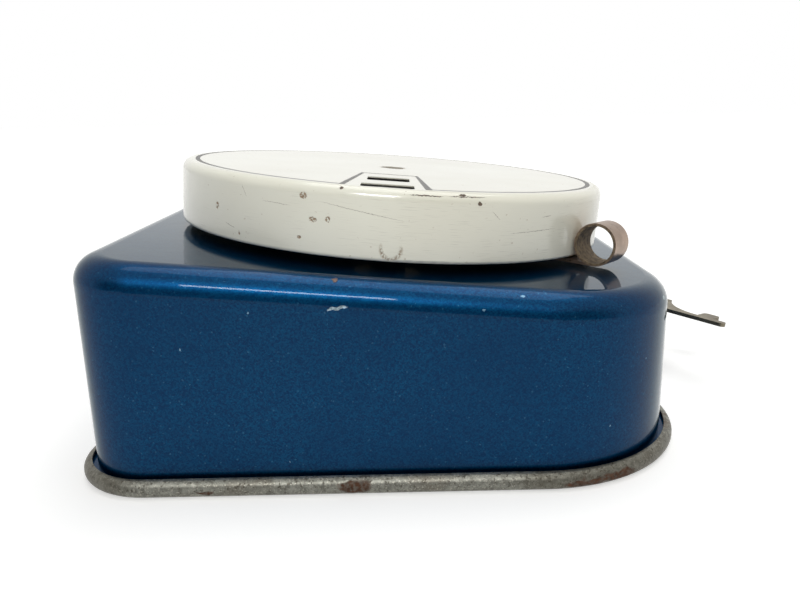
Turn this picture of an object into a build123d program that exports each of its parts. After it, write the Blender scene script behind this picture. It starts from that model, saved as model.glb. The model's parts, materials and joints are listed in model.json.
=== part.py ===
"""Clockwork kitchen timer: wedge case, fixed dial cap, setting arm and a spring-driven movement.

Millimetres.  X runs from the thick end to the thin end, Z is up, the origin lies on the table
below the dial axis.  Everything from the case top downwards into the movement is drawn in the
dial frame: u, v in the sloping top face, w along the dial axis, w = 0 on the outside of the top.
"""
import os
from math import atan2, cos, degrees, hypot, radians, sin, sqrt

from build123d import *

os.makedirs("parts", exist_ok=True)

# Case
CASE_THICK_X = -50.8        # outer wall at the thick end
CASE_THIN_X = 50.0          # outer wall at the thin end
CASE_WIDTH = 103.4          # across the case
CORNER_THICK = 11.4         # plan radius of the corners at the thick end
CORNER_THIN = 25.2          # plan radius of the corners at the thin end
TOP_HEIGHT = 33.9           # top face above the table, on the dial axis
TOP_TILT = 5.2              # slope of the top face, degrees
TOP_EDGE_R = 4.4            # rounding of the top edge
CASE_SHEET = 0.8
FLANGE_OUT = 1.4            # turned-out foot of the case that the rim grips
FLANGE_Z = 1.6
FLANGE_T = 0.6

# Base plate with its rolled rim
FLOOR_T = 0.5
RIM_OUT = 2.3               # rim beyond the case wall
RIM_H = 3.0
RIM_SHEET = 0.5
RIM_GAP = 0.85              # open slit between rim and case wall

# Dial cap
CAP_R = 43.0
CAP_BOTTOM = 1.54           # lower edge above the case top
CAP_H = 11.65
CAP_SHEET = 0.4
CAP_SHOULDER = 1.8
CAP_EDGE_R = 0.55           # rounding of the lower edge
CAP_HEM = 1.3               # width of the turned-in lower edge
WINDOW_X = -0.8             # centre line of both windows
WINDOW_OUTER = (8.8, 5.2)
WINDOW_OUTER_EDGE = 4.9     # from the cap wall to the middle of the window
WINDOW_INNER = (7.5, 6.2)
WINDOW_INNER_EDGE = 16.4
WINDOW_CORNER = 0.6

# Setting arm and finger loop
ARM_ANGLE = -36.0           # seen from above, from the thin end
ARM_SWEEP = 300.0
ARM_W = 6.4
ARM_T = 0.5
ARM_LIFT = 0.65             # arm above the case top
LOOP_R = 3.85               # outside of the curl
LOOP_GAP = 0.4              # curl to the cap wall
LOOP_TURN = 350.0
STOP_R = 1.0                # end stops of the arm
STOP_REACH = 20.0

# Centre
STUD_R = 2.0
SCREW_R = 1.1
SCREW_L = 6.5
SCREW_HEAD_R = 2.0
SLOT_W = 0.6
ARBOR_R = 4.0
COLLAR_R = 5.5
FLANGE_R = 9.0
RIVET_R = 0.9
RIVET_RING = 7.4
HUB_R = 5.6
NUMBER_GAP = 1.8            # number disc inside the cap wall
NUMBER_T = 0.5
NUMBER_BELOW = 1.1          # number disc below the cap top

# Movement frame
PLATE_T = 1.2
PLATE_TOP_W = -3.0          # upper face of the top plate
PLATE_ROOM = 12.8           # between the plates
PLATE_U0 = -38.0
PLATE_U1 = 40.0
PLATE_LUG = 4.0             # bottom plate beyond the pivot of the stop lever
PLATE_V = 40.0
PLATE_CORNER = 16.0
PILLARS = [(-31.0, -32.0), (33.0, -32.0), (34.0, 30.0), (-32.0, 31.0)]
PILLAR_R = 2.2
PILLAR_STUD = 1.2
NUT_R = 2.6
NUT_H = 1.8
MOUNTS = [(-27.0, -20.0), (28.0, -18.0), (0.0, 37.2)]
MOUNT_R = 2.4

# Train
MODULE_1 = 0.75
GREAT_TEETH = 60
SECOND_LEAVES = 10
MODULE_2 = 0.6
SECOND_TEETH = 48
ESCAPE_LEAVES = 8
SECOND_DIR = 60.0           # second arbor, seen from the main arbor
ESCAPE_DIR = 165.0          # escape arbor, seen from the second arbor
ESCAPE_TEETH = 18
ESCAPE_R = 8.2
VERGE_DIR = 190.0           # verge, seen from the escape arbor
VERGE_SPAN = 11.6
PALLET_DIR = 50.0           # pallets to either side of the line of centres
PALLET_R = 0.35
PALLET_GAP = 0.4            # pins clear of the tooth tips in the middle of the swing
PALLET_ARM = 1.8
PALLET_T = 0.8
BALANCE_HALF = 9.0
BALANCE_W = 2.4
PIVOT_R = 0.7
SHAFT_R = 1.2
WHEEL_T = 1.1
PINION_OVER = 0.6           # pinion beyond its wheel, on both sides

# Drive
SPRING_T = 0.4
SPRING_W = 3.4
SPRING_PITCH = 2.4
SPRING_TURNS = 6
RATCHET_R = 6.6
RATCHET_TEETH = 12
RATCHET_DEPTH = 1.2
CLICK_R = 11.0              # click pivot from the dial axis
CLICK_DIR = 120.0
CLICK_PIN = 0.45
PAWL_W = 1.4
WIRE = 0.5                  # spring wire of the click

# Bell
GONG_X = -14.0
GONG_R = 28.0
GONG_H = 7.6
GONG_T = 1.0
GONG_TOP = 11.6             # above the table
GONG_STUD = 1.5
POST_R = 2.8
POST_FOOT_R = 4.5
POST_FOOT_H = 2.4
HAMMER_DIR = -30.0          # where the hammer meets the gong
HAMMER_GAP = 1.2
HAMMER_ARM = 16.0
HEAD_R = 3.0
HEAD_H = 7.0
CAM_R = 6.5
CAM_LOBE = 8.2
TAIL_GAP = 2.8              # end of the hammer tail outside the lobe
TAIL_W = 2.0
HAMMER_HUB = 2.6
HAMMER_W = 3.0

# Stop lever
LEVER_INSET = 5.0           # pivot inside the thin end
LEVER_SIDE = 28.9           # pivot from the middle of the case
LEVER_DIR = -50.7
LEVER_RANGE = 16.0
LEVER_REACH = 46.8          # pivot to tip
LEVER_BODY = 8.6            # wide inner half
LEVER_NECK = 1.7            # narrow outer end
FLARE_R = 11.0              # hollow curve from the wide half to the neck
FLARE_END = 40.0            # pivot to the end of that curve
LOBE_L = 3.6                # thumb lobe on the far side of the outer end
LOBE_W = 3.4
LOBE_R = 0.9
LEVER_T = 0.8
LEVER_LIFT = 3.3            # top of the lever above the bottom plate
LEVER_TAIL = (6.4, -5.0)    # inner end of the lever, from the end of the hammer tail
LEVER_TAIL_W = 3.0
PIN_R = 1.5

# Clearances
RUN = 0.05                  # radial clearance of a running fit
FIT = 0.01                  # pieces fixed on each other
EASE = 0.15                 # pieces that pass each other
SLIDE = 0.5                 # holes that only let something through

DIAL = Location((0, 0, TOP_HEIGHT), (0, TOP_TILT, 0))


def put(node, shape):
    """Write one node."""
    export_step(shape, f"parts/{node}.step")


def put_dial(node, shape):
    """Write one node that is drawn in the dial frame."""
    put(node, DIAL * shape)


def polar(r, angle):
    return (r * cos(radians(angle)), r * sin(radians(angle)))


def disc(r, w0, w1, at=(0, 0)):
    """Round bar between two heights."""
    return extrude(Pos(at[0], at[1], w0) * Circle(r), w1 - w0)


def ring(r_out, r_in, w0, w1, at=(0, 0)):
    return extrude(Pos(at[0], at[1], w0) * (Circle(r_out) - Circle(r_in)), w1 - w0)


def outline(inset):
    """Plan of the case, drawn in by inset."""
    length = CASE_THIN_X - CASE_THICK_X - 2 * inset
    plan = Pos((CASE_THIN_X + CASE_THICK_X) / 2, 0) * Rectangle(length, CASE_WIDTH - 2 * inset)
    plan = fillet(plan.vertices().group_by(Axis.X)[0], CORNER_THICK - inset)
    return fillet(plan.vertices().group_by(Axis.X)[-1], CORNER_THIN - inset)


def wedge(inset, z0, drop, edge_r):
    """Wedge-shaped block under the top face."""
    body = extrude(Pos(0, 0, z0) * outline(inset), TOP_HEIGHT * 2)
    body = split(body, bisect_by=Plane(DIAL * Location((0, 0, -drop))), keep=Keep.BOTTOM)
    return fillet(body.faces().sort_by(Axis.Z)[-1].edges(), edge_r)


def toothed(count, module, add, phase, bore):
    """Plan of a spur wheel with straight-flanked teeth, one of them at angle phase."""
    r = count * module / 2
    pitch = 360 / count
    root, tip = r - 1.2 * module, r + add * module
    points = []
    for i in range(count):
        mid = phase + i * pitch
        for rad, half in ((root, 0.29), (r, 0.215), (tip, 0.1), (tip, -0.1), (r, -0.215), (root, -0.29)):
            points.append(polar(rad, mid - half * pitch))
    return make_face(Polyline(points, close=True)) - Circle(bore)


def saw(count, r_out, r_in, phase, bore, lean):
    """Plan of a wheel with saw teeth; lean gives the direction of the steep flank."""
    pitch = 360 / count
    points = []
    for i in range(count):
        points.append(polar(r_out, phase + i * pitch))
        points.append(polar(r_in, phase + i * pitch + lean * pitch * 0.12))
    if lean < 0:
        points = points[::-1]
    return make_face(Polyline(points, close=True)) - Circle(bore)


def bar(p, q, width, w0, w1):
    """Flat bar with round ends between two points."""
    length = hypot(q[0] - p[0], q[1] - p[1])
    angle = degrees(atan2(q[1] - p[1], q[0] - p[0]))
    plan = Pos(*p) * Rot(0, 0, angle) * Pos(length / 2, 0) * SlotCenterToCenter(length, width)
    return extrude(Pos(0, 0, w0) * plan, w1 - w0)


def turned(points):
    """Solid of revolution about the w axis from (radius, height) points."""
    return revolve(Plane.XZ * make_face(Polyline(points, close=True)), Axis.Z)


def hexagon(r, bore, w0, w1, at=(0, 0)):
    plan = RegularPolygon(r, 6) - Circle(bore)
    return extrude(Pos(at[0], at[1], w0) * plan, w1 - w0)


def arbor(at, low, high):
    """Thin shaft between the plates with its two pivots."""
    shaft = disc(SHAFT_R, plate_b1 + RUN, plate_a0 - RUN, at)
    return shaft + disc(PIVOT_R, low, high, at)


def lever_edge(u, angle, side):
    """Where an edge of the stop lever's wide half crosses u, with the lever at that angle."""
    along = polar(1, angle)
    run = (u - lever_pivot[0] + side * along[1]) / along[0]
    return lever_pivot[1] + run * along[1] + side * along[0]


def spread(points, make):
    """The same piece at several places, as one group of solids."""
    return Compound(children=[Pos(p[0], p[1]) * make() for p in points])


# Heights in the dial frame
cap_top = CAP_BOTTOM + CAP_H
cap_under = cap_top - CAP_SHEET
case_under = -CASE_SHEET
plate_a1 = PLATE_TOP_W
plate_a0 = plate_a1 - PLATE_T
plate_b1 = plate_a0 - PLATE_ROOM
plate_b0 = plate_b1 - PLATE_T
spring_1 = plate_a0 - 0.7
spring_0 = spring_1 - SPRING_W
ratchet_1 = spring_0 - 1.4
ratchet_0 = ratchet_1 - WHEEL_T
great_1 = ratchet_0 - RUN
great_0 = great_1 - WHEEL_T
collar_1 = great_0 - RUN
second_1 = great_0 - 1.8
second_0 = second_1 - WHEEL_T
cam_1 = second_1 - 0.6
cam_0 = cam_1 - WHEEL_T
escape_1 = spring_0 - 0.5
escape_0 = escape_1 - 0.8
arm_0 = ARM_LIFT
arm_1 = arm_0 + ARM_T
number_1 = cap_under - NUMBER_BELOW
number_0 = number_1 - NUMBER_T

# Places in the dial frame
second_at = polar((GREAT_TEETH + SECOND_LEAVES) * MODULE_1 / 2, SECOND_DIR)
escape_step = polar((SECOND_TEETH + ESCAPE_LEAVES) * MODULE_2 / 2, ESCAPE_DIR)
escape_at = (second_at[0] + escape_step[0], second_at[1] + escape_step[1])
verge_step = polar(VERGE_SPAN, VERGE_DIR)
verge_at = (escape_at[0] + verge_step[0], escape_at[1] + verge_step[1])
strike_1 = plate_b0 - 0.3
strike_0 = strike_1 - WHEEL_T
head_x, head_y = polar(GONG_R + HAMMER_GAP + HEAD_R, HAMMER_DIR)
head_w = strike_0 - HEAD_H / 2
head_at = ((GONG_X + head_x - head_w * sin(radians(TOP_TILT))) / cos(radians(TOP_TILT)), head_y)
hammer_step = polar(HAMMER_ARM, HAMMER_DIR - 90)
hammer_at = (head_at[0] + hammer_step[0], head_at[1] + hammer_step[1])
tail_end = (CAM_LOBE + TAIL_GAP, -4.0)
lever_pivot = (CASE_THIN_X - LEVER_INSET, LEVER_SIDE)
lever_1 = plate_b1 + LEVER_LIFT
lever_0 = lever_1 - LEVER_T
spring_end = ARBOR_R + FIT + SPRING_T / 2 + SPRING_TURNS * SPRING_PITCH
spring_post_at = (spring_end + SPRING_T / 2 + PIVOT_R + FIT, 0)

# Case: pressed cover with a turned-out foot
case = wedge(0, FLOOR_T, 0, TOP_EDGE_R) - wedge(CASE_SHEET, -FLOOR_T, CASE_SHEET, TOP_EDGE_R - CASE_SHEET)
foot = outline(-FLANGE_OUT) - outline(CASE_SHEET / 2)
case += extrude(Pos(0, 0, FLANGE_Z) * foot, FLANGE_T)
case -= DIAL * disc(ARBOR_R + SLIDE, -CASE_SHEET * 2, CASE_SHEET)
wall_u = (CASE_THIN_X - lever_0 * sin(radians(TOP_TILT))) / cos(radians(TOP_TILT))
slot_low = lever_edge(wall_u, LEVER_DIR, -LEVER_BODY / 2) - SLIDE
slot_high = lever_edge(wall_u - CASE_SHEET, LEVER_DIR + LEVER_RANGE, LEVER_BODY / 2) + 2 * SLIDE
slot_block = Box(CASE_SHEET * 8, slot_high - slot_low, LEVER_T + 2 * SLIDE)
case -= DIAL * (Pos(wall_u, (slot_low + slot_high) / 2, (lever_0 + lever_1) / 2) * slot_block)
put("case", case)

# Base plate: flat floor and rolled rim in one pressing
base = fillet(extrude(outline(-RIM_OUT), RIM_H).edges().filter_by(Plane.XY), RIM_H / 2 - 0.05)
hollow = extrude(Pos(0, 0, FLOOR_T) * outline(RIM_SHEET - RIM_OUT), RIM_H - FLOOR_T - RIM_SHEET)
base -= fillet(hollow.edges().filter_by(Plane.XY), (RIM_H - FLOOR_T - RIM_SHEET) / 2 - 0.05)
base -= extrude(Pos(0, 0, FLOOR_T) * outline(-RIM_GAP), RIM_H)
put("base_plate", base)

# Dial cap: cup with a rounded shoulder and a turned-in lower edge
cap_in = CAP_R - CAP_SHEET
cap_profile = make_face(Polyline(
    (SCREW_HEAD_R + RUN, cap_top), (CAP_R, cap_top), (CAP_R, CAP_BOTTOM), (CAP_R - CAP_HEM, CAP_BOTTOM),
    (CAP_R - CAP_HEM, CAP_BOTTOM + CAP_SHEET), (cap_in, CAP_BOTTOM + CAP_SHEET),
    (cap_in, cap_under), (SCREW_R + RUN, cap_under), close=True))
outer = cap_profile.vertices().sort_by_distance((CAP_R, cap_top))[0]
cap_profile = fillet(outer, CAP_SHOULDER)
inner = cap_profile.vertices().sort_by_distance((cap_in, cap_under))[0]
cap_profile = fillet(inner, CAP_SHOULDER - CAP_SHEET)
lower = cap_profile.vertices().sort_by_distance((CAP_R, CAP_BOTTOM))[0]
cap_profile = fillet(lower, CAP_EDGE_R)
cap = revolve(Plane.XZ * cap_profile, Axis.Z)
for size, edge in ((WINDOW_OUTER, WINDOW_OUTER_EDGE), (WINDOW_INNER, WINDOW_INNER_EDGE)):
    hole = RectangleRounded(size[0], size[1], WINDOW_CORNER)
    cap -= extrude(Pos(WINDOW_X, edge - CAP_R, cap_under - CAP_SHEET) * hole, 3 * CAP_SHEET)
put_dial("dial_cap", cap)

# Countersunk screw that holds the cap on the stud, its head flush
screw = turned([(0, cap_top - SCREW_L), (SCREW_R, cap_top - SCREW_L), (SCREW_R, cap_under),
                (SCREW_HEAD_R, cap_top - FIT), (0, cap_top - FIT)])
screw -= Pos(0, 0, cap_top) * Box(SCREW_HEAD_R * 3, SLOT_W, CAP_SHEET)
put_dial("cap_screw", screw)

# Fixed stud in the middle
stud = disc(STUD_R, plate_b0, cap_under) - disc(SCREW_R + FIT, cap_top - SCREW_L - EASE, cap_under)
put_dial("centre_stud", stud)

# Main arbor: hollow shaft with a collar under the great wheel
bore = STUD_R + RUN
put_dial("main_arbor", turned([
    (bore, plate_b1 + RUN), (ARBOR_R, plate_b1 + RUN), (ARBOR_R, cam_1), (COLLAR_R, cam_1),
    (COLLAR_R, collar_1), (ARBOR_R, collar_1), (ARBOR_R, number_1 + 0.3), (bore, number_1 + 0.3)]))

# Number disc under the cap and its bush
put_dial("number_dial", ring(cap_in - NUMBER_GAP, ARBOR_R + FIT, number_0, number_1))
put_dial("dial_bush", ring(HUB_R * 1.3, ARBOR_R + FIT, number_0 - 1.8, number_0))

# Setting arm: one strip from the flange to the finger loop
loop_at = CAP_R + LOOP_GAP + LOOP_R
arm = disc(FLANGE_R, arm_0, arm_1) + Pos(loop_at / 2, 0, (arm_0 + arm_1) / 2) * Box(loop_at, ARM_W, ARM_T)
arm -= disc(ARBOR_R + FIT, arm_0 - ARM_T, arm_1 + ARM_T)
curl_open = 360 - LOOP_TURN
curl = Circle(LOOP_R) - Circle(LOOP_R - ARM_T)
gap_ends = polar(LOOP_R * 2, 270 - curl_open), polar(LOOP_R * 2, 270)
curl -= make_face(Polyline((0, 0), *gap_ends, close=True))
curl = Plane.XZ * Pos(loop_at, arm_0 + LOOP_R) * curl
arm += extrude(curl, ARM_W / 2, both=True)
arm = Rot(0, 0, ARM_ANGLE) * arm
flange = ring(FLANGE_R, ARBOR_R + FIT, arm_1, arm_1 + 0.8) + ring(HUB_R, ARBOR_R + FIT, arm_1, arm_1 + 2.6)
rivets = []
for i in range(3):
    at = polar(RIVET_RING, ARM_ANGLE + 60 + 120 * i)
    hole = disc(RIVET_R + FIT, arm_0 - 1, arm_1 + 2, at)
    arm -= hole
    flange -= hole
    rivets.append(disc(RIVET_R, arm_0, arm_1 + 0.8, at) + disc(RIVET_R * 1.6, arm_1 + 0.8, arm_1 + 1.3, at))
put_dial("setting_arm", arm)
put_dial("arm_flange", flange)
put_dial("arm_rivets", Compound(children=rivets))

# End stops of the arm, on the case top
side = ARM_W / 2 + RUN + STOP_R
stops = []
for angle, turn in ((ARM_ANGLE, 90), (ARM_ANGLE - ARM_SWEEP, -90)):
    along, across = polar(STOP_REACH, angle), polar(side, angle + turn)
    stops.append(disc(STOP_R, 0, arm_1 + 0.4, (along[0] + across[0], along[1] + across[1])))
put_dial("stop_pins", Compound(children=stops))


def plate(u1, w0, w1):
    """Movement plate, drilled for the pillars."""
    plan = Pos((PLATE_U0 + u1) / 2, 0) * RectangleRounded(u1 - PLATE_U0, 2 * PLATE_V, PLATE_CORNER)
    for at in PILLARS:
        plan -= Pos(*at) * Circle(PILLAR_STUD + FIT)
    for at in (second_at, escape_at, verge_at):
        plan -= Pos(*at) * Circle(PIVOT_R + RUN)
    return extrude(Pos(0, 0, w0) * plan, w1 - w0)


# Movement frame
top_plate = plate(PLATE_U1, plate_a0, plate_a1) - disc(ARBOR_R + RUN, plate_a0, plate_a1)
top_plate -= disc(PIVOT_R + RUN, plate_a0, plate_a1, hammer_at)
top_plate -= disc(PIVOT_R + FIT, plate_a0, plate_a1, spring_post_at)
for at in MOUNTS:
    top_plate -= disc(PILLAR_STUD + FIT, plate_a0, plate_a1, at)
put_dial("top_plate", top_plate)
bottom_plate = plate(lever_pivot[0] + PLATE_LUG, plate_b0, plate_b1) - disc(STUD_R + FIT, plate_b0, plate_b1)
bottom_plate -= disc(SHAFT_R + RUN, plate_b0, plate_b1, hammer_at)
bottom_plate -= disc(PIN_R + FIT, plate_b0, plate_b1, lever_pivot)
put_dial("bottom_plate", bottom_plate)
put_dial("pillars", spread(PILLARS, lambda: disc(PILLAR_R, plate_b1, plate_a0)
                           + disc(PILLAR_STUD, plate_b0 - NUT_H - SLIDE, plate_a1)))
put_dial("pillar_nuts", spread(
    PILLARS, lambda: hexagon(NUT_R, PILLAR_STUD + FIT, plate_b0 - NUT_H, plate_b0)))
put_dial("mount_posts", spread(MOUNTS, lambda: disc(MOUNT_R, plate_a1, case_under)
                               + disc(PILLAR_STUD, plate_a0 - NUT_H - SLIDE, plate_a1)))
put_dial("mount_nuts", spread(MOUNTS, lambda: hexagon(NUT_R, PILLAR_STUD + FIT, plate_a0 - NUT_H, plate_a0)))

# Mainspring: flat spiral of half turns, from the arbor to its post
half = SPRING_PITCH / 2
spiral = None
for i in range(2 * SPRING_TURNS):
    upper = i % 2 == 0
    r = ARBOR_R + FIT + SPRING_T / 2 + i * half
    turn = Circle(r + SPRING_T / 2) - Circle(r - SPRING_T / 2)
    turn &= Pos(0, r if upper else -r) * Rectangle(4 * r, 2 * r)
    turn = Pos(0 if upper else half, 0) * turn
    spiral = turn if spiral is None else spiral + turn
put_dial("mainspring", extrude(Pos(0, 0, spring_0) * spiral, SPRING_W))
put_dial("spring_post", disc(PIVOT_R, spring_0, plate_a1, spring_post_at))

# Ratchet on the arbor, great wheel with its click
ratchet = saw(RATCHET_TEETH, RATCHET_R, RATCHET_R - RATCHET_DEPTH, 0, ARBOR_R + FIT, 1)
put_dial("ratchet_wheel", extrude(Pos(0, 0, ratchet_0) * ratchet, WHEEL_T))
click_at = polar(CLICK_R, CLICK_DIR)
nose_at = polar(RATCHET_R + 0.9, CLICK_DIR - 35)
foot_at = polar(CLICK_R + 3.5, CLICK_DIR + 5)
great_r = GREAT_TEETH * MODULE_1 / 2
great = toothed(GREAT_TEETH, MODULE_1, 0.75, SECOND_DIR, ARBOR_R + RUN)
great -= Pos(*click_at) * Circle(CLICK_PIN + FIT)
for i in range(5):
    great -= Pos(*polar(great_r * 0.74, 72 * i)) * Circle(great_r * 0.15)
put_dial("great_wheel", extrude(Pos(0, 0, great_0) * great, WHEEL_T))
click = bar(click_at, nose_at, PAWL_W, ratchet_0, ratchet_1)
put_dial("click", click - disc(CLICK_PIN + RUN, ratchet_0, ratchet_1, click_at))
put_dial("click_pin", disc(CLICK_PIN, great_0, ratchet_1 + 0.1, click_at)
         + disc(PAWL_W / 2, ratchet_1 + RUN, ratchet_1 + 0.5, click_at))
pawl_dir = degrees(atan2(nose_at[1] - click_at[1], nose_at[0] - click_at[0]))
off = polar(PAWL_W / 2 + RUN + WIRE / 2, pawl_dir + 90)
touch = (click_at[0] + 0.8 * (nose_at[0] - click_at[0]) + off[0],
         click_at[1] + 0.8 * (nose_at[1] - click_at[1]) + off[1])
put_dial("click_spring", bar(foot_at, touch, WIRE, ratchet_0, ratchet_0 + 0.7)
         + disc(0.9, great_1, ratchet_1, foot_at))

# Second arbor and wheel
second_pinion = toothed(SECOND_LEAVES, MODULE_1, 0.75, SECOND_DIR + 180 + 180 / SECOND_LEAVES, PIVOT_R)
put_dial("second_arbor", arbor(second_at, plate_b0, plate_a1)
         + extrude(Pos(second_at[0], second_at[1], great_0 - PINION_OVER) * second_pinion, WHEEL_T + 2 * PINION_OVER))
second = toothed(SECOND_TEETH, MODULE_2, 0.75, ESCAPE_DIR, SHAFT_R + FIT)
second_r = SECOND_TEETH * MODULE_2 / 2
for i in range(4):
    second -= Pos(*polar(second_r * 0.55, 45 + 90 * i)) * Circle(second_r * 0.24)
put_dial("second_wheel", extrude(Pos(second_at[0], second_at[1], second_0) * second, WHEEL_T))

# Escape arbor and wheel
escape_pinion = toothed(ESCAPE_LEAVES, MODULE_2, 0.75, ESCAPE_DIR + 180 + 180 / ESCAPE_LEAVES, PIVOT_R)
put_dial("escape_arbor", arbor(escape_at, plate_b0, plate_a1)
         + extrude(Pos(escape_at[0], escape_at[1], second_0 - PINION_OVER) * escape_pinion, WHEEL_T + 2 * PINION_OVER))
escape_pitch = 360 / ESCAPE_TEETH
escape_phase = VERGE_DIR - PALLET_DIR + escape_pitch / 2
escape = saw(ESCAPE_TEETH, ESCAPE_R, ESCAPE_R * 0.78, escape_phase, SHAFT_R + FIT, 1)
put_dial("escape_wheel", extrude(Pos(escape_at[0], escape_at[1], escape_0) * escape, escape_1 - escape_0))

# Verge with two pallet pins, balance bar on the same arbor
verge = arbor(verge_at, plate_b0, plate_a1)
for angle in (VERGE_DIR - PALLET_DIR, VERGE_DIR + PALLET_DIR):
    reach = polar(ESCAPE_R + PALLET_GAP + PALLET_R, angle)
    end = (escape_at[0] + reach[0], escape_at[1] + reach[1])
    verge += bar(verge_at, end, PALLET_ARM, escape_1 + EASE, escape_1 + EASE + PALLET_T)
    verge += disc(PALLET_R, escape_0, escape_1 + EASE + PALLET_T, end)
put_dial("verge", verge)
ends = [polar(BALANCE_HALF, VERGE_DIR + 90), polar(BALANCE_HALF, VERGE_DIR - 90)]
ends = [(verge_at[0] + e[0], verge_at[1] + e[1]) for e in ends]
balance = bar(ends[0], ends[1], BALANCE_W, second_0, second_1)
for e in ends:
    balance += disc(BALANCE_W, second_0 - 0.4, second_1 + 0.6, e)
balance += disc(BALANCE_W, second_0, second_1 + 0.6, verge_at)
put_dial("balance", balance - disc(SHAFT_R + FIT, second_0 - 1, second_1 + 1, verge_at))

# Strike cam and hammer
lobe = make_face(Polyline(
    polar(CAM_R * 0.98, -70), polar(CAM_LOBE, -100), polar(CAM_R * 0.98, -105), (0, 0), close=True))
put_dial("strike_cam", extrude(Pos(0, 0, cam_0) * (Circle(CAM_R) + lobe - Circle(ARBOR_R + FIT)), WHEEL_T))
put_dial("hammer_arbor", disc(SHAFT_R, strike_0, plate_a0 - RUN, hammer_at)
         + disc(PIVOT_R, plate_a0 - 1, plate_a1, hammer_at))
tail = bar(hammer_at, tail_end, TAIL_W, cam_0, cam_1) + disc(HAMMER_HUB, cam_0, cam_1, hammer_at)
put_dial("hammer_tail", tail - disc(SHAFT_R + FIT, cam_0, cam_1, hammer_at))
strike = bar(hammer_at, head_at, HAMMER_W, strike_0, strike_1)
strike += disc(HAMMER_HUB, strike_0, strike_1, hammer_at)
strike -= disc(SHAFT_R + FIT, strike_0, strike_1, hammer_at)
put_dial("hammer_arm", strike - disc(PIVOT_R + FIT, strike_0, strike_1, head_at))
head = disc(HEAD_R, strike_0 - HEAD_H, strike_0, head_at)
put_dial("hammer_head", head + disc(PIVOT_R, strike_0, strike_1, head_at))

# Gong on its post, standing on the floor
gong_low = GONG_TOP - GONG_H
bell = make_face(Polyline(
    (GONG_STUD + FIT, GONG_TOP), (GONG_R * 0.8, GONG_TOP), (GONG_R * 0.95, GONG_TOP - GONG_H * 0.3),
    (GONG_R, gong_low), (GONG_R - GONG_T, gong_low), (GONG_R * 0.95 - GONG_T, GONG_TOP - GONG_H * 0.36),
    (GONG_R * 0.8 - GONG_T * 0.4, GONG_TOP - GONG_T), (GONG_STUD + FIT, GONG_TOP - GONG_T), close=True))
put("gong", Pos(GONG_X, 0) * revolve(Plane.XZ * bell, Axis.Z))
put("gong_post", Pos(GONG_X, 0) * turned([
    (0, FLOOR_T), (POST_FOOT_R, FLOOR_T), (POST_FOOT_R, FLOOR_T + POST_FOOT_H * 0.6),
    (POST_R, FLOOR_T + POST_FOOT_H), (POST_R, GONG_TOP - GONG_T), (GONG_STUD, GONG_TOP - GONG_T),
    (GONG_STUD, GONG_TOP + NUT_H + SLIDE), (0, GONG_TOP + NUT_H + SLIDE)]))
put("gong_nut", hexagon(NUT_R * 1.2, GONG_STUD + FIT, GONG_TOP, GONG_TOP + NUT_H, (GONG_X, 0)))

# Stop lever: wide half through the case, hollow curve to a narrow end with a thumb lobe
edge = LEVER_BODY / 2
neck = LEVER_NECK - edge
rise = edge - neck
flare = sqrt(FLARE_R ** 2 - (FLARE_R - rise) ** 2)
wide = FLARE_END - flare
lever_plan = Circle(edge) + Pos(wide / 2, 0) * Rectangle(wide, LEVER_BODY)
lever_plan += Pos(LEVER_REACH / 2, neck - LEVER_NECK / 2) * Rectangle(LEVER_REACH, LEVER_NECK)
web = Pos(wide + flare / 2, neck + rise / 2) * Rectangle(flare, rise)
lever_plan += web - Pos(FLARE_END, neck + FLARE_R) * Circle(FLARE_R)
lobe_at = Pos(FLARE_END + LOBE_L / 2, neck + (LOBE_W - LEVER_NECK) / 2)
lever_plan += lobe_at * RectangleRounded(LOBE_L, LOBE_W + LEVER_NECK, LOBE_R)
lever_plan = fillet(lever_plan.vertices().group_by(Axis.X)[-1], LEVER_NECK * 0.45)
lever = extrude(Pos(*lever_pivot, lever_0) * Rot(0, 0, LEVER_DIR) * lever_plan, LEVER_T)
lever_end = (tail_end[0] + LEVER_TAIL[0], tail_end[1] + LEVER_TAIL[1])
lever += bar(lever_pivot, lever_end, LEVER_TAIL_W, lever_0, lever_1)
put_dial("stop_lever", lever - disc(PIN_R + RUN, lever_0, lever_1, lever_pivot))
put_dial("lever_pin", Pos(*lever_pivot) * turned([
    (0, plate_b0), (PIN_R, plate_b0), (PIN_R, plate_b1), (PIN_R * 2, plate_b1), (PIN_R * 2, lever_0 - RUN),
    (PIN_R, lever_0 - RUN), (PIN_R, lever_1 + RUN), (PIN_R * 1.8, lever_1 + RUN),
    (PIN_R * 1.8, lever_1 + LEVER_T), (0, lever_1 + LEVER_T)]))
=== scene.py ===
"""Clockwork kitchen timer: blue lacquered wedge case, white enamel dial cap, steel rim and loop."""
import json
from math import atan2, cos, radians, sin

import bpy
from mathutils import Matrix, Vector


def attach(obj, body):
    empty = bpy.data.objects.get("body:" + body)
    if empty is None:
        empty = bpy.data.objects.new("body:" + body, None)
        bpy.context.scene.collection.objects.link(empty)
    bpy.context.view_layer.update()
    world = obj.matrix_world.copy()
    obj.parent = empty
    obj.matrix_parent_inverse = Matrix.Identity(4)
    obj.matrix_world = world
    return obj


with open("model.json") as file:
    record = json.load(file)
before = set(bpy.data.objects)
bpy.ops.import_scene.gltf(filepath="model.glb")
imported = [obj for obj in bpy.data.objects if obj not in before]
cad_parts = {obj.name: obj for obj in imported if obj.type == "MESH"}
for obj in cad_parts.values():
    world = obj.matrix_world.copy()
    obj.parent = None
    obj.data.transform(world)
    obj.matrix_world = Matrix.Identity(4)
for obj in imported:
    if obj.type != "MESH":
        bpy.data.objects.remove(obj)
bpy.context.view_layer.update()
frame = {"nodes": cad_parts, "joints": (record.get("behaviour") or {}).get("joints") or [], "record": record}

MM = 0.001

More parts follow.
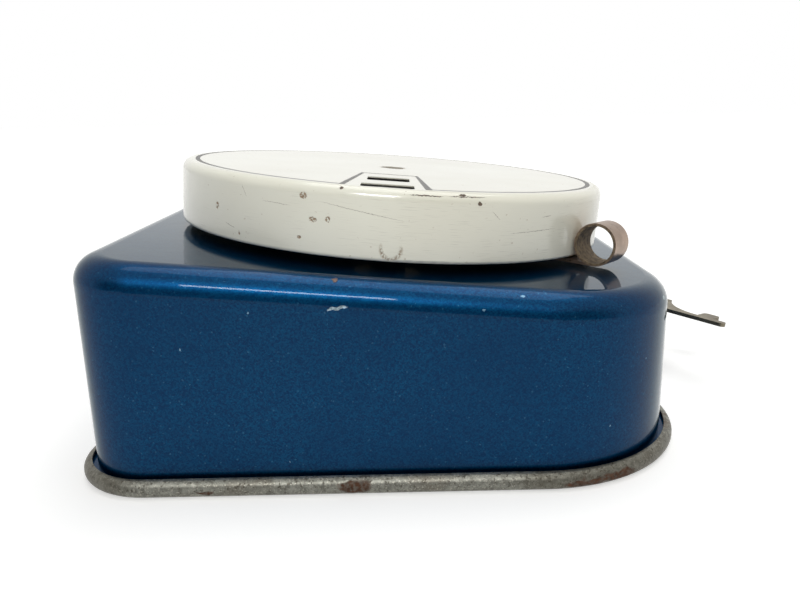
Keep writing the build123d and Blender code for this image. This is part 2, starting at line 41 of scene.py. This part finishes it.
# Camera, from the photograph: place in millimetres, angles in degrees
PHOTO_W = 800
FOCAL_PX = 740.7
CAM_AT = Vector((2.47, -159.52, 59.58)) * MM
CAM_YAW, CAM_PITCH, CAM_ROLL = 0.23, 14.87, -1.33
SENSOR = 36.0
CLIP_START = 0.005          # nearest distance drawn, in metres

# Light: strengths at which a white sheet facing up renders as white
SKY = (0.15, 0.48)          # from the left and from the right
ROOM = 0.2                  # the room behind the camera, as the gloss shows it
ROOM_FRONT = (-0.2, -0.6)   # its soft edges, as parts of a unit direction
ROOM_TOP = (0.62, 0.42)
FLOOR_LIFT = (0.36, 0.85)   # brings the floor to white where nothing shades it, near and far
FLOOR_NEAR, FLOOR_FAR = 0.2, 1.2    # where near ends and far starts, in metres
FLOOR_SIZE = 6.0
LAMPS = {                   # place, width and height in metres, power in watts
    "overhead": ((0.1, 0.25, 1.1), (0.9, 0.9), 5.9),
    "front_strip": ((-0.08, -0.76, 0.64), (0.3, 0.09), 3.4),
}
LAMPS_AIM = Vector((0, 0, 0.03))

# Printed line on the cap, in millimetres in the dial frame: a ring that turns in round the windows
RING_R = 40.2
RING_W = 0.9
RING_STEPS = 720
PRINT_T = 0.02
STROKES = {                 # first and last point, width at each
    "left": ((-8.2, -39.75), (-5.8, -17.0), 0.95, 0.6),
    "right": ((5.93, -40.2), (4.4, -17.3), 1.15, 0.5),
    "inner": ((-5.95, -16.95), (4.55, -17.35), 0.45, 0.45),
}

# Shared by the patterns of the materials
CLOUD_ROUGH = 0.6           # how broken the edge of a cloudy patch is
RAGGED_REACH = 4.0          # size of the noise that tears a mark's edge, as a multiple of the tear
RAGGED_DETAIL = 5.0
MARK_CORE = 0.75            # share of a mark's half size inside which it is full

# Numbers on the turning disc
MINUTES = 60
MINUTE_STEP = 5
SWEEP = 300.0               # degrees for the whole hour
WINDOW_X = -0.8             # centre line of the two windows
NUMBER_R = 37.2
NUMBER_SIZE = 3.4
TICK_R = 24.2
TICK_L, TICK_W = 1.7, 0.35

bpy.ops.object.select_all(action="DESELECT")
scene = bpy.context.scene
scene.view_settings.view_transform = "Standard"
nodes = frame["nodes"]

# Dial frame: the axis of the setting arm, from the top of the case
setting = next(j for j in frame["joints"] if j["name"] == "setting_turn")
dial_axis = -Vector(setting["axis"])
TILT = atan2(dial_axis.x, dial_axis.z)
DIAL = Matrix.Translation(Vector(setting["pos_m"])) @ Matrix.Rotation(TILT, 4, "Y")


def top_of(node):
    """Height of a node's highest point along the dial axis."""
    inverse = DIAL.inverted()
    return max((inverse @ v.co).z for v in nodes[node].data.vertices)


DIAL = DIAL @ Matrix.Translation((0, 0, top_of("case")))


def aim_camera():
    """Camera that sees the timer as the photograph does."""
    yaw, pitch, roll = radians(CAM_YAW), radians(CAM_PITCH), radians(CAM_ROLL)
    ahead = Vector((-sin(yaw) * cos(pitch), cos(yaw) * cos(pitch), -sin(pitch)))
    level = Vector((cos(yaw), sin(yaw), 0))
    above = level.cross(ahead)
    right = level * cos(roll) + above * sin(roll)
    up = above * cos(roll) - level * sin(roll)
    bpy.ops.object.camera_add()
    camera = bpy.context.object
    camera.data.sensor_width = SENSOR
    camera.data.lens = FOCAL_PX / PHOTO_W * SENSOR
    camera.data.clip_start = CLIP_START
    turn = Matrix((right, up, -ahead)).transposed()
    camera.matrix_world = Matrix.Translation(CAM_AT) @ turn.to_4x4()
    scene.camera = camera


def srgb(code):
    """Linear colour of an sRGB hex value."""
    parts = [int(code[i:i + 2], 16) / 255 for i in (1, 3, 5)]
    return (*(c / 12.92 if c <= 0.04045 else ((c + 0.055) / 1.055) ** 2.4 for c in parts), 1)


def feed(tree, node, sockets):
    """Gives each input of a node a value, a hex colour, or the output or the node that feeds it."""
    for socket, value in sockets.items():
        if isinstance(value, bpy.types.Node):
            value = value.outputs[0]
        if isinstance(value, bpy.types.NodeSocket):
            tree.links.new(value, node.inputs[socket])
        else:
            node.inputs[socket].default_value = srgb(value) if isinstance(value, str) else value


def add(tree, kind, sockets=None, **settings):
    """Adds a node with its settings, and feeds its inputs."""
    node = tree.nodes.new("ShaderNode" + kind)
    for name, value in settings.items():
        setattr(node, name, value)
    feed(tree, node, sockets or {})
    return node


def start(name):
    """New material: its node tree, its shader and Object coordinates."""
    material = bpy.data.materials.new(name)
    material.use_nodes = True
    tree = material.node_tree
    return material, tree, tree.nodes["Principled BSDF"], add(tree, "TexCoord").outputs["Object"]


def lay(tree, under, over, mask, share=1.0):
    """Colour of one layer with another over it, where a mask says and by a share."""
    if share < 1:
        mask = add(tree, "Math", {0: mask, 1: share}, operation="MULTIPLY")
    return add(tree, "Mix", {0: mask, 6: under, 7: over}, data_type="RGBA").outputs[2]


def patches(tree, coords, size_mm, edge, detail=4.0):
    """Mask of cloudy patches about size_mm wide; edge gives the noise levels where it is 0 and 1."""
    cloud = add(tree, "TexNoise", {"Vector": coords, "Scale": 1 / (size_mm * MM), "Detail": detail,
                                   "Roughness": CLOUD_ROUGH})
    return add(tree, "MapRange", {"Value": cloud, "From Min": edge[0], "From Max": edge[1]})


def marks(tree, coords, places, ragged_mm):
    """Mask of single marks: each has a middle and half sizes in millimetres, and turns in degrees."""
    reach = RAGGED_REACH * ragged_mm * MM
    noise = add(tree, "TexNoise", {"Vector": coords, "Scale": 1 / reach, "Detail": RAGGED_DETAIL})
    shift = add(tree, "VectorMath", {0: noise.outputs["Color"], 1: (0.5, 0.5, 0.5)}, operation="SUBTRACT")
    torn = add(tree, "VectorMath", {0: shift, 1: (reach, reach, reach), 2: coords}, operation="MULTIPLY_ADD")
    mask = 0.0
    for middle, half, turns in places:
        local = add(tree, "Mapping", {"Vector": torn, "Location": Vector(middle) * MM,
                                      "Rotation": [radians(t) for t in turns], "Scale": Vector(half) * MM},
                    vector_type="TEXTURE")
        away = add(tree, "VectorMath", {0: local}, operation="LENGTH").outputs["Value"]
        spot = add(tree, "MapRange", {"Value": away, "From Min": 1.0, "From Max": MARK_CORE})
        mask = add(tree, "Math", {0: mask, 1: spot}, operation="MAXIMUM")
    return mask


def in_dial_frame(tree, coords):
    """Object coordinates turned into the dial frame."""
    return add(tree, "Mapping", {"Vector": coords, "Location": DIAL.translation, "Rotation": (0, TILT, 0)},
               vector_type="TEXTURE")


# Lacquer of the case: the flake is really about 0.05 mm, and drawn so coarse that it shows
FLAKE = 0.22
PAINT_T = 0.06
# Marks in it: middle, half sizes, turns
CASE_CHIPS_AND_GLINT = [
    ((-7.5, -51.7, 30.35), (1.75, 0.8, 0.3), (0, -8, 0)),
    # Pale chip at the right corner: a chip and also a painted glint where light catches the corner
    ((46.6, -38.4, 27.3), (0.7, 0.6, 0.35), (0, 0, 0)),
]
# Small pale specks in the lacquer, partly painted glints
CASE_SPECKS_AND_GLINTS = [
    ((14.7, -51.5, 29.5), (0.3, 0.5, 0.22), (0, 0, 0)),
    ((20.8, -49.9, 31.1), (0.45, 0.4, 0.14), (0, 0, 0)),
    ((-21.0, -51.7, 29.9), (0.18, 0.4, 0.16), (0, 0, 0)),
    ((-31.8, -51.7, 24.3), (0.14, 0.4, 0.22), (0, 0, 0)),
    ((35.4, -49.4, 9.1), (0.14, 0.4, 0.14), (0, 0, 0)),
    ((42.0, -44.9, 18.9), (0.14, 0.4, 0.14), (0, 0, 0)),
    ((-16.1, -51.7, 5.1), (0.1, 0.4, 0.2), (0, 0, 0)),
]
CASE_RUST = [((-7.8, -49.2, 34.15), (0.55, 0.7, 0.5), (0, 0, 0))]


def metallic_lacquer():
    """Metallic stoving lacquer, sprayed: deep blue with fine bright flake under a clear coat, and painted
    glints in rare flakes, pale specks and a pale chip.
    """
    material, tree, shader, coords = start("metallic_lacquer")
    flake = add(tree, "TexVoronoi", {"Vector": coords, "Scale": 1 / (FLAKE * MM)})
    tones = add(tree, "SeparateColor", {0: flake.outputs["Color"]}).outputs
    colour = lay(tree, "#00284c", "#034064", tones[0])
    # Painted glint: one flake in a hundred is painted bright, as a flake facing the eye would glint
    facing = add(tree, "MapRange", {"Value": tones[1], "From Min": 0.99})
    colour = lay(tree, colour, "#3f7391", facing, 0.4)
    colour = lay(tree, colour, "#00294c", patches(tree, coords, 25, (0.35, 0.75)), 0.6)

    # Chips show the pale primer; the one at the right corner is also a painted glint
    chips = marks(tree, coords, CASE_CHIPS_AND_GLINT, 0.2)
    primer = lay(tree, "#a8b9c3", "#76868e", patches(tree, coords, 0.5, (0.4, 0.6)))
    colour = lay(tree, colour, primer, chips)
    # Pale specks, partly painted glints
    colour = lay(tree, colour, "#6f93ab", marks(tree, coords, CASE_SPECKS_AND_GLINTS, 0.1), 0.8)
    rust = marks(tree, coords, CASE_RUST, 0.2)
    colour = lay(tree, colour, "#5a463c", rust, 0.9)

    haze = patches(tree, coords, 5, (0.35, 0.7))
    bare = add(tree, "Math", {0: chips, 1: rust}, operation="MAXIMUM")
    feed(tree, shader, {
        "Base Color": colour,
        "Metallic": 1.0,
        "Roughness": add(tree, "MapRange", {"Value": haze, "To Min": 0.38, "To Max": 0.42}),
        "Specular Tint": "#a3b3ae",
        "Coat Weight": 1.0,
        "Coat Roughness": 0.03,
        "Coat IOR": 1.18,
        "Normal": add(tree, "Bump", {"Height": bare, "Distance": PAINT_T * MM}, invert=True),
    })
    return material


# Enamel of the cap, in the dial frame: the wall, and scuffs along it by length and width
CAP_R = 43.0
WALL_TOP, SHOULDER = 11.6, 12.6
SCUFF_L, SCUFF_W = 4.5, 0.09
ENAMEL_T = 0.08
# Marks in it: middle, half sizes, turns
CAP_CHIPS = [
    ((-30.2, -30.6, 7.1), (0.65, 0.5, 0.6), (0, 0, 0)),
    ((-14.2, -40.6, 11.0), (0.75, 0.5, 0.65), (0, 0, 0)),
    ((-12.4, -41.2, 7.35), (0.75, 0.5, 0.5), (0, 0, 0)),
    ((-9.95, -41.8, 7.6), (0.42, 0.5, 0.5), (0, 15, 0)),
    ((-25.5, -34.6, 3.2), (0.2, 0.4, 0.4), (0, 0, 0)),
    ((-14.6, -40.4, 4.2), (0.4, 0.4, 0.35), (0, 20, 0)),
]
CAP_DEEP_CHIPS = [
    ((-8.0, -41.6, 12.75), (0.32, 0.4, 0.28), (0, 0, 0)),
    ((14.2, -40.6, 11.55), (0.42, 0.5, 0.42), (0, 0, 0)),
    ((11.3, -40.8, 12.75), (0.7, 0.5, 0.2), (0, 0, 15)),
    ((5.5, -42.2, 12.5), (2.9, 0.7, 0.1), (0, 0, 8)),
    ((12.2, -40.8, 12.55), (3.4, 0.7, 0.06), (0, 0, 17)),
]
# Dark mark round the screw, in the colours of the deep chips
CAP_SCREW_DARK_MARK = ((-0.1, -0.7, 13.2), (2.9, 3.0, 1.2), (0, 0, 0))
# Painted shade: the cut edges of the two windows, below the enamel, painted near black for the shade inside
# the windows
CAP_WINDOW_EDGE_SHADE = [
    ((0, -35.5, 12.68), (14.0, 5.5, 0.32), (0, 0, 0)),
    ((0, -23.5, 12.68), (14.0, 6.5, 0.32), (0, 0, 0)),
]
CAP_DENT = ((0.4, -43.0, 3.5), (2.05, 1.2, 1.9), (0, 0, 0))
CAP_DENT_MIDDLE = ((0.4, -43.0, 4.0), (1.7, 1.4, 2.1), (0, 0, 0))
CAP_HAIRLINES = [
    ((-4.4, -42.4, 9.3), (7.6, 1.2, 0.05), (0, 8.7, -6)),
    ((-24.6, -35.2, 10.5), (1.2, 1.0, 0.05), (0, 60, -34)),
    ((-18.8, -38.7, 9.3), (3.0, 1.0, 0.04), (0, 2, -26)),
    ((24.4, -35.4, 7.0), (6.0, 1.2, 0.05), (0, -3, 34)),
    ((26.6, -33.8, 9.45), (1.3, 1.0, 0.06), (0, -6, 38)),
    ((17.2, -39.4, 9.7), (1.2, 0.8, 0.04), (0, 40, 23)),
    ((-27.4, -33.2, 4.2), (1.4, 0.8, 0.05), (0, 14, -39)),
]


def wall_scuffs(tree, coords):
    """Mask of fine scuffs on the wall of the cap: a pattern stretched round the axis."""
    at = add(tree, "SeparateXYZ", {0: coords}).outputs
    angle = add(tree, "Math", {0: at[1], 1: at[0]}, operation="ARCTAN2")
    along = add(tree, "Math", {0: angle, 1: CAP_R * MM * SCUFF_W / SCUFF_L}, operation="MULTIPLY")
    scuffs = patches(tree, add(tree, "CombineXYZ", {0: along, 2: at[2]}), SCUFF_W, (0.62, 0.72), detail=1.0)
    below = add(tree, "MapRange", {"Value": at[2], "From Min": SHOULDER * MM, "From Max": WALL_TOP * MM})
    scuffs = add(tree, "Math", {0: scuffs, 1: below}, operation="MULTIPLY")
    handled = patches(tree, coords, 14, (0.42, 0.62), detail=2.0)
    return add(tree, "Math", {0: scuffs, 1: handled}, operation="MULTIPLY")


def stove_enamel():
    """White stove enamel on pressed steel: glossy, yellowed a little, scuffed and chipped to rust, with
    painted shade in the cut edges of the windows.
    """
    material, tree, shader, coords = start("stove_enamel")
    coords = in_dial_frame(tree, coords)
    colour = lay(tree, "#edecdd", "#e4e1d0", patches(tree, coords, 30, (0.35, 0.75), detail=2.0))
    colour = lay(tree, colour, "#8f8878", wall_scuffs(tree, coords), 0.4)
    colour = lay(tree, colour, "#a08a68", patches(tree, coords, 0.8, (0.7, 0.76), detail=2.0), 0.4)
    colour = lay(tree, colour, "#7d6f5c", marks(tree, coords, CAP_HAIRLINES, 0.08), 0.7)

    # Shallow chips are broken up by what is left of the enamel, deep ones show the dark steel
    broken = patches(tree, coords, 0.35, (0.38, 0.52), detail=1.0)
    dent = add(tree, "Math", {0: marks(tree, coords, [CAP_DENT], 0.1),
                              1: marks(tree, coords, [CAP_DENT_MIDDLE], 0.1)},
               operation="SUBTRACT", use_clamp=True)
    chips = add(tree, "Math", {0: marks(tree, coords, CAP_CHIPS, 0.2), 1: dent}, operation="MAXIMUM")
    chips = add(tree, "Math", {0: chips, 1: broken}, operation="MULTIPLY")
    colour = lay(tree, colour, "#8d6f4e", chips, 0.85)
    # Deep chips, and a dark mark round the screw in the same colours
    deep = add(tree, "Math", {0: marks(tree, coords, CAP_DEEP_CHIPS, 0.12),
                              1: marks(tree, coords, [CAP_SCREW_DARK_MARK], 0.55)}, operation="MAXIMUM")
    colour = lay(tree, colour, lay(tree, "#463c33", "#6f5f4f", broken), deep)
    # Painted shade: the cut edges of the windows are painted near black
    edges = marks(tree, coords, CAP_WINDOW_EDGE_SHADE, 0.03)
    colour = lay(tree, colour, "#1d1814", edges)

    bare = add(tree, "Math", {0: chips, 1: deep}, operation="MAXIMUM")
    bare = add(tree, "Math", {0: bare, 1: edges}, operation="MAXIMUM")
    feed(tree, shader, {
        "Base Color": colour,
        "Roughness": add(tree, "MapRange", {"Value": bare, "To Min": 0.16, "To Max": 0.7}),
        "IOR": 1.52,
        "Normal": add(tree, "Bump", {"Height": bare, "Distance": ENAMEL_T * MM}, invert=True),
    })
    return material


# Rim of the base: pits, and marks of rust and of darkening by middle, half sizes and turns
PIT_DEPTH = 0.03
RIM_RUST = [
    ((-6.0, -54.0, 1.8), (2.9, 1.4, 1.3), (0, 0, 0)),
    ((31.5, -53.4, 1.0), (4.6, 1.8, 0.8), (0, 0, 9)),
    ((37.0, -51.4, 1.3), (4.0, 2.2, 1.0), (0, 0, 32)),
    ((-29.5, -54.0, 1.0), (1.6, 1.0, 0.4), (0, 0, 0)),
]
# Darker towards the right front and the left end of the rim
RIM_DARK_ENDS = [
    ((34.0, -46.0, 1.5), (20.0, 14.0, 4.0), (0, 0, 0)),
    ((-50.0, -45.0, 1.5), (12.0, 17.0, 4.0), (0, 0, 0)),
]


def dull_tinplate():
    """Tinplate gone dull: grey, rubbed bright in fine scratches, with dark pits and brown rust."""
    material, tree, shader, coords = start("dull_tinplate")
    colour = lay(tree, "#88887f", "#63625a", patches(tree, coords, 1.1, (0.4, 0.65)))
    colour = lay(tree, colour, "#6f6b61", patches(tree, coords, 7, (0.5, 0.7)))
    colour = lay(tree, colour, "#b3b0a3", patches(tree, coords, 0.3, (0.56, 0.68), detail=1.0), 0.55)
    # Darker towards the right front and the left end of the rim
    colour = lay(tree, colour, "#4a4438", marks(tree, coords, RIM_DARK_ENDS, 2.0), 0.5)
    pits = patches(tree, coords, 0.45, (0.6, 0.68), detail=1.0)
    colour = lay(tree, colour, "#433d33", pits, 0.7)

    spread = patches(tree, coords, 9, (0.62, 0.7), detail=8.0)
    rusty = add(tree, "Math", {0: spread, 1: marks(tree, coords, RIM_RUST, 0.6)}, operation="MAXIMUM")
    broken = patches(tree, coords, 0.6, (0.4, 0.58), detail=2.0)
    broken = add(tree, "MapRange", {"Value": broken, "To Min": 0.6})
    rusty = add(tree, "Math", {0: rusty, 1: broken}, operation="MULTIPLY")
    rust = lay(tree, "#382210", "#553520", patches(tree, coords, 0.9, (0.35, 0.65)))
    feed(tree, shader, {
        "Base Color": lay(tree, colour, rust, rusty),
        "Metallic": add(tree, "MapRange", {"Value": rusty, "To Min": 0.8, "To Max": 0.1}),
        "Roughness": add(tree, "MapRange", {"Value": rusty, "To Min": 0.45, "To Max": 0.85}),
        "Normal": add(tree, "Bump", {"Height": pits, "Distance": PIT_DEPTH * MM}),
    })
    return material


# Curl at the end of the setting strip, in the dial frame
CURL_AT = (47.25, -36.0, 4.5)   # distance out in millimetres, angle in degrees, height
CURL_R = (3.6, 3.82)            # just outside the inner face, just inside the outer face


# The inner face of the curl is darkened: dirt and rust, and painted shade of the hollow
def inside_curl(tree, coords):
    """Mask that is 1 on the inner face of the curled strip and 0 on its outer face."""
    out, angle, height = CURL_AT
    middle = Vector((out * cos(radians(angle)), out * sin(radians(angle)), height)) * MM
    local = add(tree, "Mapping", {"Vector": in_dial_frame(tree, coords), "Location": middle,
                                  "Rotation": (0, 0, radians(angle))}, vector_type="TEXTURE")
    across = add(tree, "VectorMath", {0: local, 1: (1, 0, 1)}, operation="MULTIPLY")
    away = add(tree, "VectorMath", {0: across}, operation="LENGTH").outputs["Value"]
    return add(tree, "MapRange", {"Value": away, "From Min": CURL_R[1] * MM, "From Max": CURL_R[0] * MM})


GRAIN, GRAIN_DEPTH = 0.25, 0.006    # rolling grain of sheet metal, in millimetres


def worn_metal(name, bright, dull, stain, rough, patch_mm, dirt_and_shade_mask=None):
    """Sheet or bar metal: fine rolling grain, cloudy tarnish, darker stains, and dirt with painted shade
    where a mask says.
    """
    material, tree, shader, coords = start(name)
    grain = patches(tree, coords, GRAIN, (0.3, 0.7), detail=2.0)
    colour = lay(tree, bright, dull, patches(tree, coords, patch_mm, (0.35, 0.7)))
    colour = lay(tree, colour, stain, patches(tree, coords, patch_mm / 2, (0.62, 0.7)), 0.8)
    feed(tree, shader, {
        "Base Color": colour,
        "Metallic": 1.0,
        "Roughness": add(tree, "MapRange", {"Value": grain, "To Min": rough, "To Max": rough + 0.12}),
        "Normal": add(tree, "Bump", {"Height": grain, "Distance": GRAIN_DEPTH * MM}),
    })
    if dirt_and_shade_mask:
        # Darker where the mask says: dirt and rust, and painted shade in the hollow of the curl
        mask = dirt_and_shade_mask(tree, coords)
        dirt_and_shade_tone = lay(tree, "#7d6c53", "#45392a", patches(tree, coords, 0.8, (0.4, 0.65)))
        feed(tree, shader, {
            "Base Color": lay(tree, colour, dirt_and_shade_tone, mask),
            "Metallic": add(tree, "MapRange", {"Value": mask, "To Min": 1.0, "To Max": 0.0}),
            "Roughness": add(tree, "MapRange", {"Value": mask, "To Min": rough, "To Max": 0.75}),
        })
    return material


def satin_paint():
    """Satin white paint of the numbers, a little yellowed."""
    material, tree, shader, coords = start("satin_paint")
    sheen = patches(tree, coords, 0.4, (0.3, 0.7))
    feed(tree, shader, {
        "Base Color": lay(tree, "#e9e6d9", "#dcd6c3", patches(tree, coords, 9, (0.4, 0.75))),
        "Roughness": add(tree, "MapRange", {"Value": sheen, "To Min": 0.42, "To Max": 0.55}),
        "IOR": 1.5,
    })
    return material


def printing_ink():
    """Screen-printed black ink, rubbed thin in places."""
    material, tree, shader, coords = start("printing_ink")
    worn = patches(tree, coords, 1.2, (0.5, 0.75))
    feed(tree, shader, {
        "Base Color": lay(tree, "#33302a", "#767268", worn),
        "Roughness": add(tree, "MapRange", {"Value": worn, "To Min": 0.35, "To Max": 0.5}),
        "IOR": 1.5,
    })
    return material


FINISHES = {
    "blue_lacquer": metallic_lacquer(),
    "white_enamel": stove_enamel(),
    "bare_steel": dull_tinplate(),
    "tarnished_steel": worn_metal("tarnished_steel", "#a18a78", "#84705f", "#463a2e", 0.34, patch_mm=3.0,
                                  dirt_and_shade_mask=inside_curl),
    "dark_steel": worn_metal("browned_steel", "#8a8371", "#6c6455", "#3f3529", 0.4, patch_mm=3.0),
    "plate_steel": worn_metal("zinc_plated_steel", "#b9bab8", "#a0a19d", "#7c776c", 0.3, patch_mm=9.0),
    "brass": worn_metal("stamped_brass", "#c9a55a", "#b08c45", "#77602f", 0.26, patch_mm=6.0),
    "spring_steel": worn_metal("blued_spring_steel", "#4a5162", "#3b3f4b", "#2c2622", 0.28, patch_mm=5.0),
    "number_white": satin_paint(),
    "gong_steel": worn_metal("nickel_plated_steel", "#d3d0c8", "#bdb9b0", "#8d8579", 0.16, patch_mm=12.0),
}
INK = printing_ink()

# Nodes shown darker than their slots; the number disc is dark as painted shade, for the unlit space under the
# cap seen through the windows
OTHER_FINISH = {
    "stop_lever": FINISHES["dark_steel"],
    # Painted shade: a dark disc, so the windows look as dark as the shade under the cap
    "number_dial": worn_metal("number_disc_painted_shade", "#3b3833", "#2d2a26", "#211c17", 0.45, patch_mm=6.0),
}


def dress_nodes():
    """Each CAD node gets the finish of its slot, or the finish OTHER_FINISH gives it."""
    for part in frame["record"]["subparts"]:
        node = part["node"]
        for slot in nodes[node].material_slots:
            slot.material = OTHER_FINISH.get(node, FINISHES[part["material_slot"]])


def place(name, height, turn, material, body):
    """Lifts the selected flat piece to its height in the dial frame and lets it ride on a body."""
    piece = bpy.context.object
    solid = piece.modifiers.new("thickness", "SOLIDIFY")
    solid.thickness = PRINT_T * MM
    solid.offset = 1.0
    bpy.ops.object.modifier_apply(modifier=solid.name)
    lift = Matrix.Translation((0, 0, height)) @ Matrix.Rotation(turn, 4, "Z")
    piece.matrix_world = DIAL @ lift @ piece.matrix_world
    bpy.ops.object.transform_apply(location=True, rotation=True, scale=True)
    piece.name = piece.data.name = name
    piece.data.materials.clear()
    piece.data.materials.append(material)
    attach(piece, body)
    piece.select_set(False)


def pick(test):
    """In edit mode, selects the vertices whose place passes the test."""
    bpy.ops.mesh.select_mode(type="VERT")
    bpy.ops.mesh.select_all(action="DESELECT")
    bpy.ops.object.mode_set(mode="OBJECT")
    for vertex in bpy.context.object.data.vertices:
        vertex.select = test(vertex.co)
    bpy.ops.object.mode_set(mode="EDIT")


def tapered_bar(first, last, first_w, last_w):
    """Flat bar between two points in millimetres, with a width at each end."""
    run = Vector(last) - Vector(first)
    bpy.ops.mesh.primitive_plane_add(size=MM)
    bpy.ops.object.mode_set(mode="EDIT")
    bpy.ops.transform.resize(value=(last_w, run.length, 1))
    pick(lambda at: at.y < 0)
    bpy.ops.transform.resize(value=(first_w / last_w, 1, 1))
    bpy.ops.object.mode_set(mode="OBJECT")
    bar = bpy.context.object
    bar.location = ((first[0] + last[0]) / 2 * MM, (first[1] + last[1]) / 2 * MM, 0)
    bar.rotation_euler.z = atan2(-run.x, run.y)
    bpy.ops.object.transform_apply(location=True, rotation=True, scale=True)


def ring_line():
    """Printed ring, open between the two strokes."""
    ends = [atan2(STROKES[side][0][1], STROKES[side][0][0]) for side in ("left", "right")]
    inner, outer = RING_R - RING_W / 2, RING_R + RING_W / 2
    bpy.ops.mesh.primitive_circle_add(vertices=RING_STEPS, radius=inner * MM)
    bpy.ops.object.mode_set(mode="EDIT")
    bpy.ops.mesh.extrude_edges_move()
    bpy.ops.transform.resize(value=(outer / inner, outer / inner, 1))
    pick(lambda at: ends[0] < atan2(at.y, at.x) < ends[1])
    bpy.ops.mesh.delete(type="VERT")
    bpy.ops.mesh.select_all(action="SELECT")
    bpy.ops.mesh.normals_make_consistent(inside=False)
    bpy.ops.object.mode_set(mode="OBJECT")


def print_cap():
    """Line printed on the top of the cap."""
    top = top_of("dial_cap")
    ring_line()
    place("cap_ring_line", top, 0, INK, "housing")
    for side, stroke in STROKES.items():
        tapered_bar(*stroke)
        place(f"cap_stroke_{side}", top, 0, INK, "housing")


def print_numbers():
    """Minutes on the turning disc, read through the outer window, and ticks for the inner one."""
    top = top_of("number_dial")
    for minute in range(0, MINUTES + 1, MINUTE_STEP):
        turn = radians(minute / MINUTES * SWEEP)
        bpy.ops.object.text_add()
        label = bpy.context.object
        label.data.body = str(minute)
        label.data.size = NUMBER_SIZE * MM
        label.data.align_x = "CENTER"
        label.data.align_y = "CENTER"
        bpy.ops.object.convert(target="MESH")
        bpy.context.object.location = (WINDOW_X * MM, -NUMBER_R * MM, 0)
        place(f"minute_{minute}", top, turn, FINISHES["number_white"], "setting")
        tapered_bar((WINDOW_X, -TICK_R - TICK_L / 2), (WINDOW_X, -TICK_R + TICK_L / 2), TICK_W, TICK_W)
        place(f"tick_{minute}", top, turn, FINISHES["number_white"], "setting")


def showing(tree):
    """1 for the rays that show the surroundings: to the camera, in a gloss or through glass."""
    rays = add(tree, "LightPath").outputs
    seen = add(tree, "Math", {0: rays["Is Camera Ray"], 1: rays["Is Glossy Ray"]}, operation="MAXIMUM")
    return add(tree, "Math", {0: seen, 1: rays["Is Transmission Ray"]}, operation="MAXIMUM")


def set_studio():
    """White surroundings with a darker room in front, pale floor, soft lamps."""
    world = bpy.data.worlds.new("studio")
    scene.world = world
    world.use_nodes = True
    tree = world.node_tree
    towards = add(tree, "SeparateXYZ", {0: add(tree, "TexCoord").outputs["Generated"]}).outputs
    light = add(tree, "MapRange", {"Value": towards[0], "From Min": -1.0, "From Max": 1.0,
                                   "To Min": SKY[0], "To Max": SKY[1]})
    strength = add(tree, "MapRange", {"Value": showing(tree), "To Min": light, "To Max": 1.0})
    front = add(tree, "MapRange", {"Value": towards[1], "From Min": ROOM_FRONT[0], "From Max": ROOM_FRONT[1]})
    low = add(tree, "MapRange", {"Value": towards[2], "From Min": ROOM_TOP[0], "From Max": ROOM_TOP[1]})
    room = add(tree, "Math", {0: front, 1: low}, operation="MULTIPLY")
    gloss = add(tree, "LightPath").outputs["Is Glossy Ray"]
    room = add(tree, "Math", {0: room, 1: gloss}, operation="MULTIPLY")
    room = add(tree, "MapRange", {"Value": room, "To Min": 1.0, "To Max": ROOM})
    strength = add(tree, "Math", {0: strength, 1: room}, operation="MULTIPLY")
    feed(tree, tree.nodes["Background"], {"Color": "#ffffff", "Strength": strength})

    bpy.ops.mesh.primitive_plane_add(size=FLOOR_SIZE)
    floor = bpy.context.object
    floor.name = "floor"
    paper = bpy.data.materials.new("white_paper")
    paper.use_nodes = True
    tree = paper.node_tree
    tree.nodes.remove(tree.nodes["Principled BSDF"])
    coords = add(tree, "TexCoord").outputs["Object"]
    away = add(tree, "VectorMath", {0: coords}, operation="LENGTH").outputs["Value"]
    lift = add(tree, "MapRange", {"Value": away, "From Min": FLOOR_NEAR, "From Max": FLOOR_FAR,
                                  "To Min": FLOOR_LIFT[0], "To Max": FLOOR_LIFT[1]})
    lift = add(tree, "Math", {0: showing(tree), 1: lift}, operation="MULTIPLY")
    matt = add(tree, "BsdfDiffuse", {"Color": "#eeeeec"})
    glow = add(tree, "Emission", {"Color": "#ffffff", "Strength": lift})
    both = add(tree, "AddShader", {0: matt, 1: glow})
    feed(tree, tree.nodes["Material Output"], {"Surface": both})
    floor.data.materials.append(paper)

    for name, (at, size, power) in LAMPS.items():
        bpy.ops.object.light_add(type="AREA", location=at)
        lamp = bpy.context.object
        lamp.name = name
        lamp.rotation_euler = (LAMPS_AIM - Vector(at)).to_track_quat("-Z", "Y").to_euler()
        lamp.data.shape = "RECTANGLE"
        lamp.data.size, lamp.data.size_y = size
        lamp.data.energy = power


aim_camera()
dress_nodes()
print_cap()
print_numbers()
set_studio()
